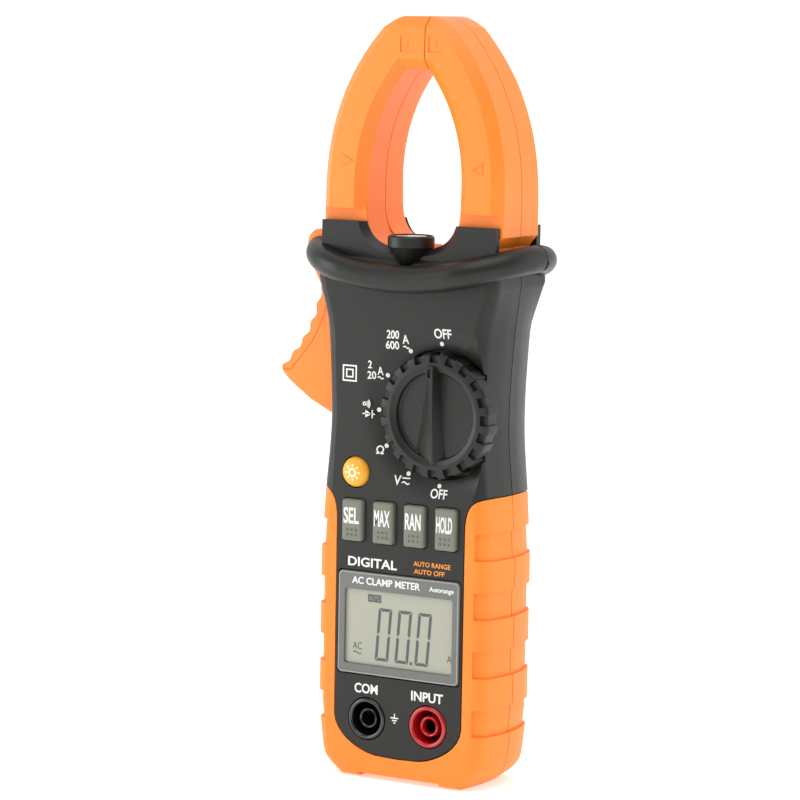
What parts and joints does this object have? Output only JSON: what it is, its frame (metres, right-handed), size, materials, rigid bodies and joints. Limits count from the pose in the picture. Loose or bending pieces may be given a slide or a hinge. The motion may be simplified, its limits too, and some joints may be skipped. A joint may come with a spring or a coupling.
{
  "type": "clamp meter",
  "caption": "Hand-held clamp meter: sprung jaws open by a thumb lever to close round a wire, with a rotary selector, keys, a display, test-lead sockets and a jaw lamp",
  "frame": {"origin": "on the flat underside of the rear grip, on the case's middle plane", "axes": "+X to the user's right, -Y out of the front face, +Z towards the jaws"},
  "size_m": [0.0805, 0.0412, 0.208],
  "materials": {
    "dark_shell": "moulded dark warm grey with a fine satin grain",
    "soft_orange": "soft-touch orange overmould",
    "jaw_orange": "satin orange nylon",
    "core_steel": "stacked transformer laminations",
    "steel": "zinc plated",
    "clear_lens": "clear polished",
    "white_plastic": "plain moulded",
    "key_rubber": "grey-green silicone rubber",
    "yellow_key": "yellow silicone rubber",
    "black_rubber": "black silicone rubber",
    "black_plastic": "glossy black",
    "red_plastic": "glossy red",
    "brass": "nickel-flashed brass",
    "window_pane": "clear pane with a grey printed frame",
    "lcd_glass": "reflective grey-green liquid crystal glass",
    "circuit_board": "green solder resist",
    "cell_sleeve": "shrink sleeve"
  },
  "bodies": {
    "case": {"front_case": "dark_shell", "rear_case": "dark_shell", "front_grip": "soft_orange", "rear_grip": "soft_orange", "battery_cover": "dark_shell", "battery_cover_screw": "steel", "case_screw_1": "steel", "case_screw_2": "steel", "case_screw_3": "steel", "left_pivot_pin": "steel", "right_pivot_pin": "steel", "jaw_spring": "steel", "lamp_lens": "clear_lens", "lamp_led": "clear_lens", "key_pad": "black_rubber", "lamp_switch": "black_plastic", "display_window": "window_pane", "lcd_panel": "lcd_glass", "lcd_holder": "white_plastic", "backlight": "white_plastic", "zebra_strip": "black_rubber", "main_board": "circuit_board", "buzzer": "black_plastic", "com_socket": "black_plastic", "com_contact": "brass", "input_socket": "red_plastic", "input_contact": "brass", "battery_1": "cell_sleeve", "battery_2": "cell_sleeve", "battery_3": "cell_sleeve", "battery_contact_top": "steel", "battery_contact_bottom": "steel"},
    "left_jaw": {"left_jaw_front": "jaw_orange", "left_jaw_rear": "jaw_orange", "left_jaw_core": "core_steel", "trigger": "jaw_orange"},
    "right_jaw": {"right_jaw_front": "jaw_orange", "right_jaw_rear": "jaw_orange", "right_jaw_core": "core_steel"},
    "selector": {"selector_knob": "dark_shell", "selector_rotor": "white_plastic"},
    "select_button": {"select_key": "key_rubber"},
    "maximum_button": {"maximum_key": "key_rubber"},
    "range_button": {"range_key": "key_rubber"},
    "hold_button": {"hold_key": "key_rubber"},
    "lamp_button": {"lamp_key": "yellow_key"}
  },
  "joints": [
    {"name": "left_jaw_swing", "type": "hinge", "parent": "case", "child": "left_jaw", "pos_m": [-0.02, -0.001, 0.142], "axis": [0, -1, 0], "range_deg": [0, 13.3], "stiffness_Nm_per_rad": 0.6, "springref_deg": -17.19, "deforming": ["jaw_spring"]},
    {"name": "right_jaw_swing", "type": "hinge", "parent": "case", "child": "right_jaw", "pos_m": [0.02, -0.001, 0.142], "axis": [0, -1, 0], "range_deg": [-13.3, 0]},
    {"name": "selector_turn", "type": "hinge", "parent": "case", "child": "selector", "pos_m": [0.0114, -0.0145, 0.1018], "axis": [0, -1, 0], "range_deg": [0, 180]},
    {"name": "select_press", "type": "slide", "parent": "case", "child": "select_button", "axis": [0, 1, 0], "range_m": [0, 0.001], "stiffness_N_per_m": 400, "springref_m": -0.001},
    {"name": "maximum_press", "type": "slide", "parent": "case", "child": "maximum_button", "axis": [0, 1, 0], "range_m": [0, 0.001], "stiffness_N_per_m": 400, "springref_m": -0.001},
    {"name": "range_press", "type": "slide", "parent": "case", "child": "range_button", "axis": [0, 1, 0], "range_m": [0, 0.001], "stiffness_N_per_m": 400, "springref_m": -0.001},
    {"name": "hold_press", "type": "slide", "parent": "case", "child": "hold_button", "axis": [0, 1, 0], "range_m": [0, 0.001], "stiffness_N_per_m": 400, "springref_m": -0.001},
    {"name": "lamp_press", "type": "slide", "parent": "case", "child": "lamp_button", "axis": [0, 1, 0], "range_m": [0, 0.001], "stiffness_N_per_m": 400, "springref_m": -0.001}
  ],
  "couplings": [
    {"joint": "right_jaw_swing", "follows": "left_jaw_swing", "ratio": -1}
  ]
}
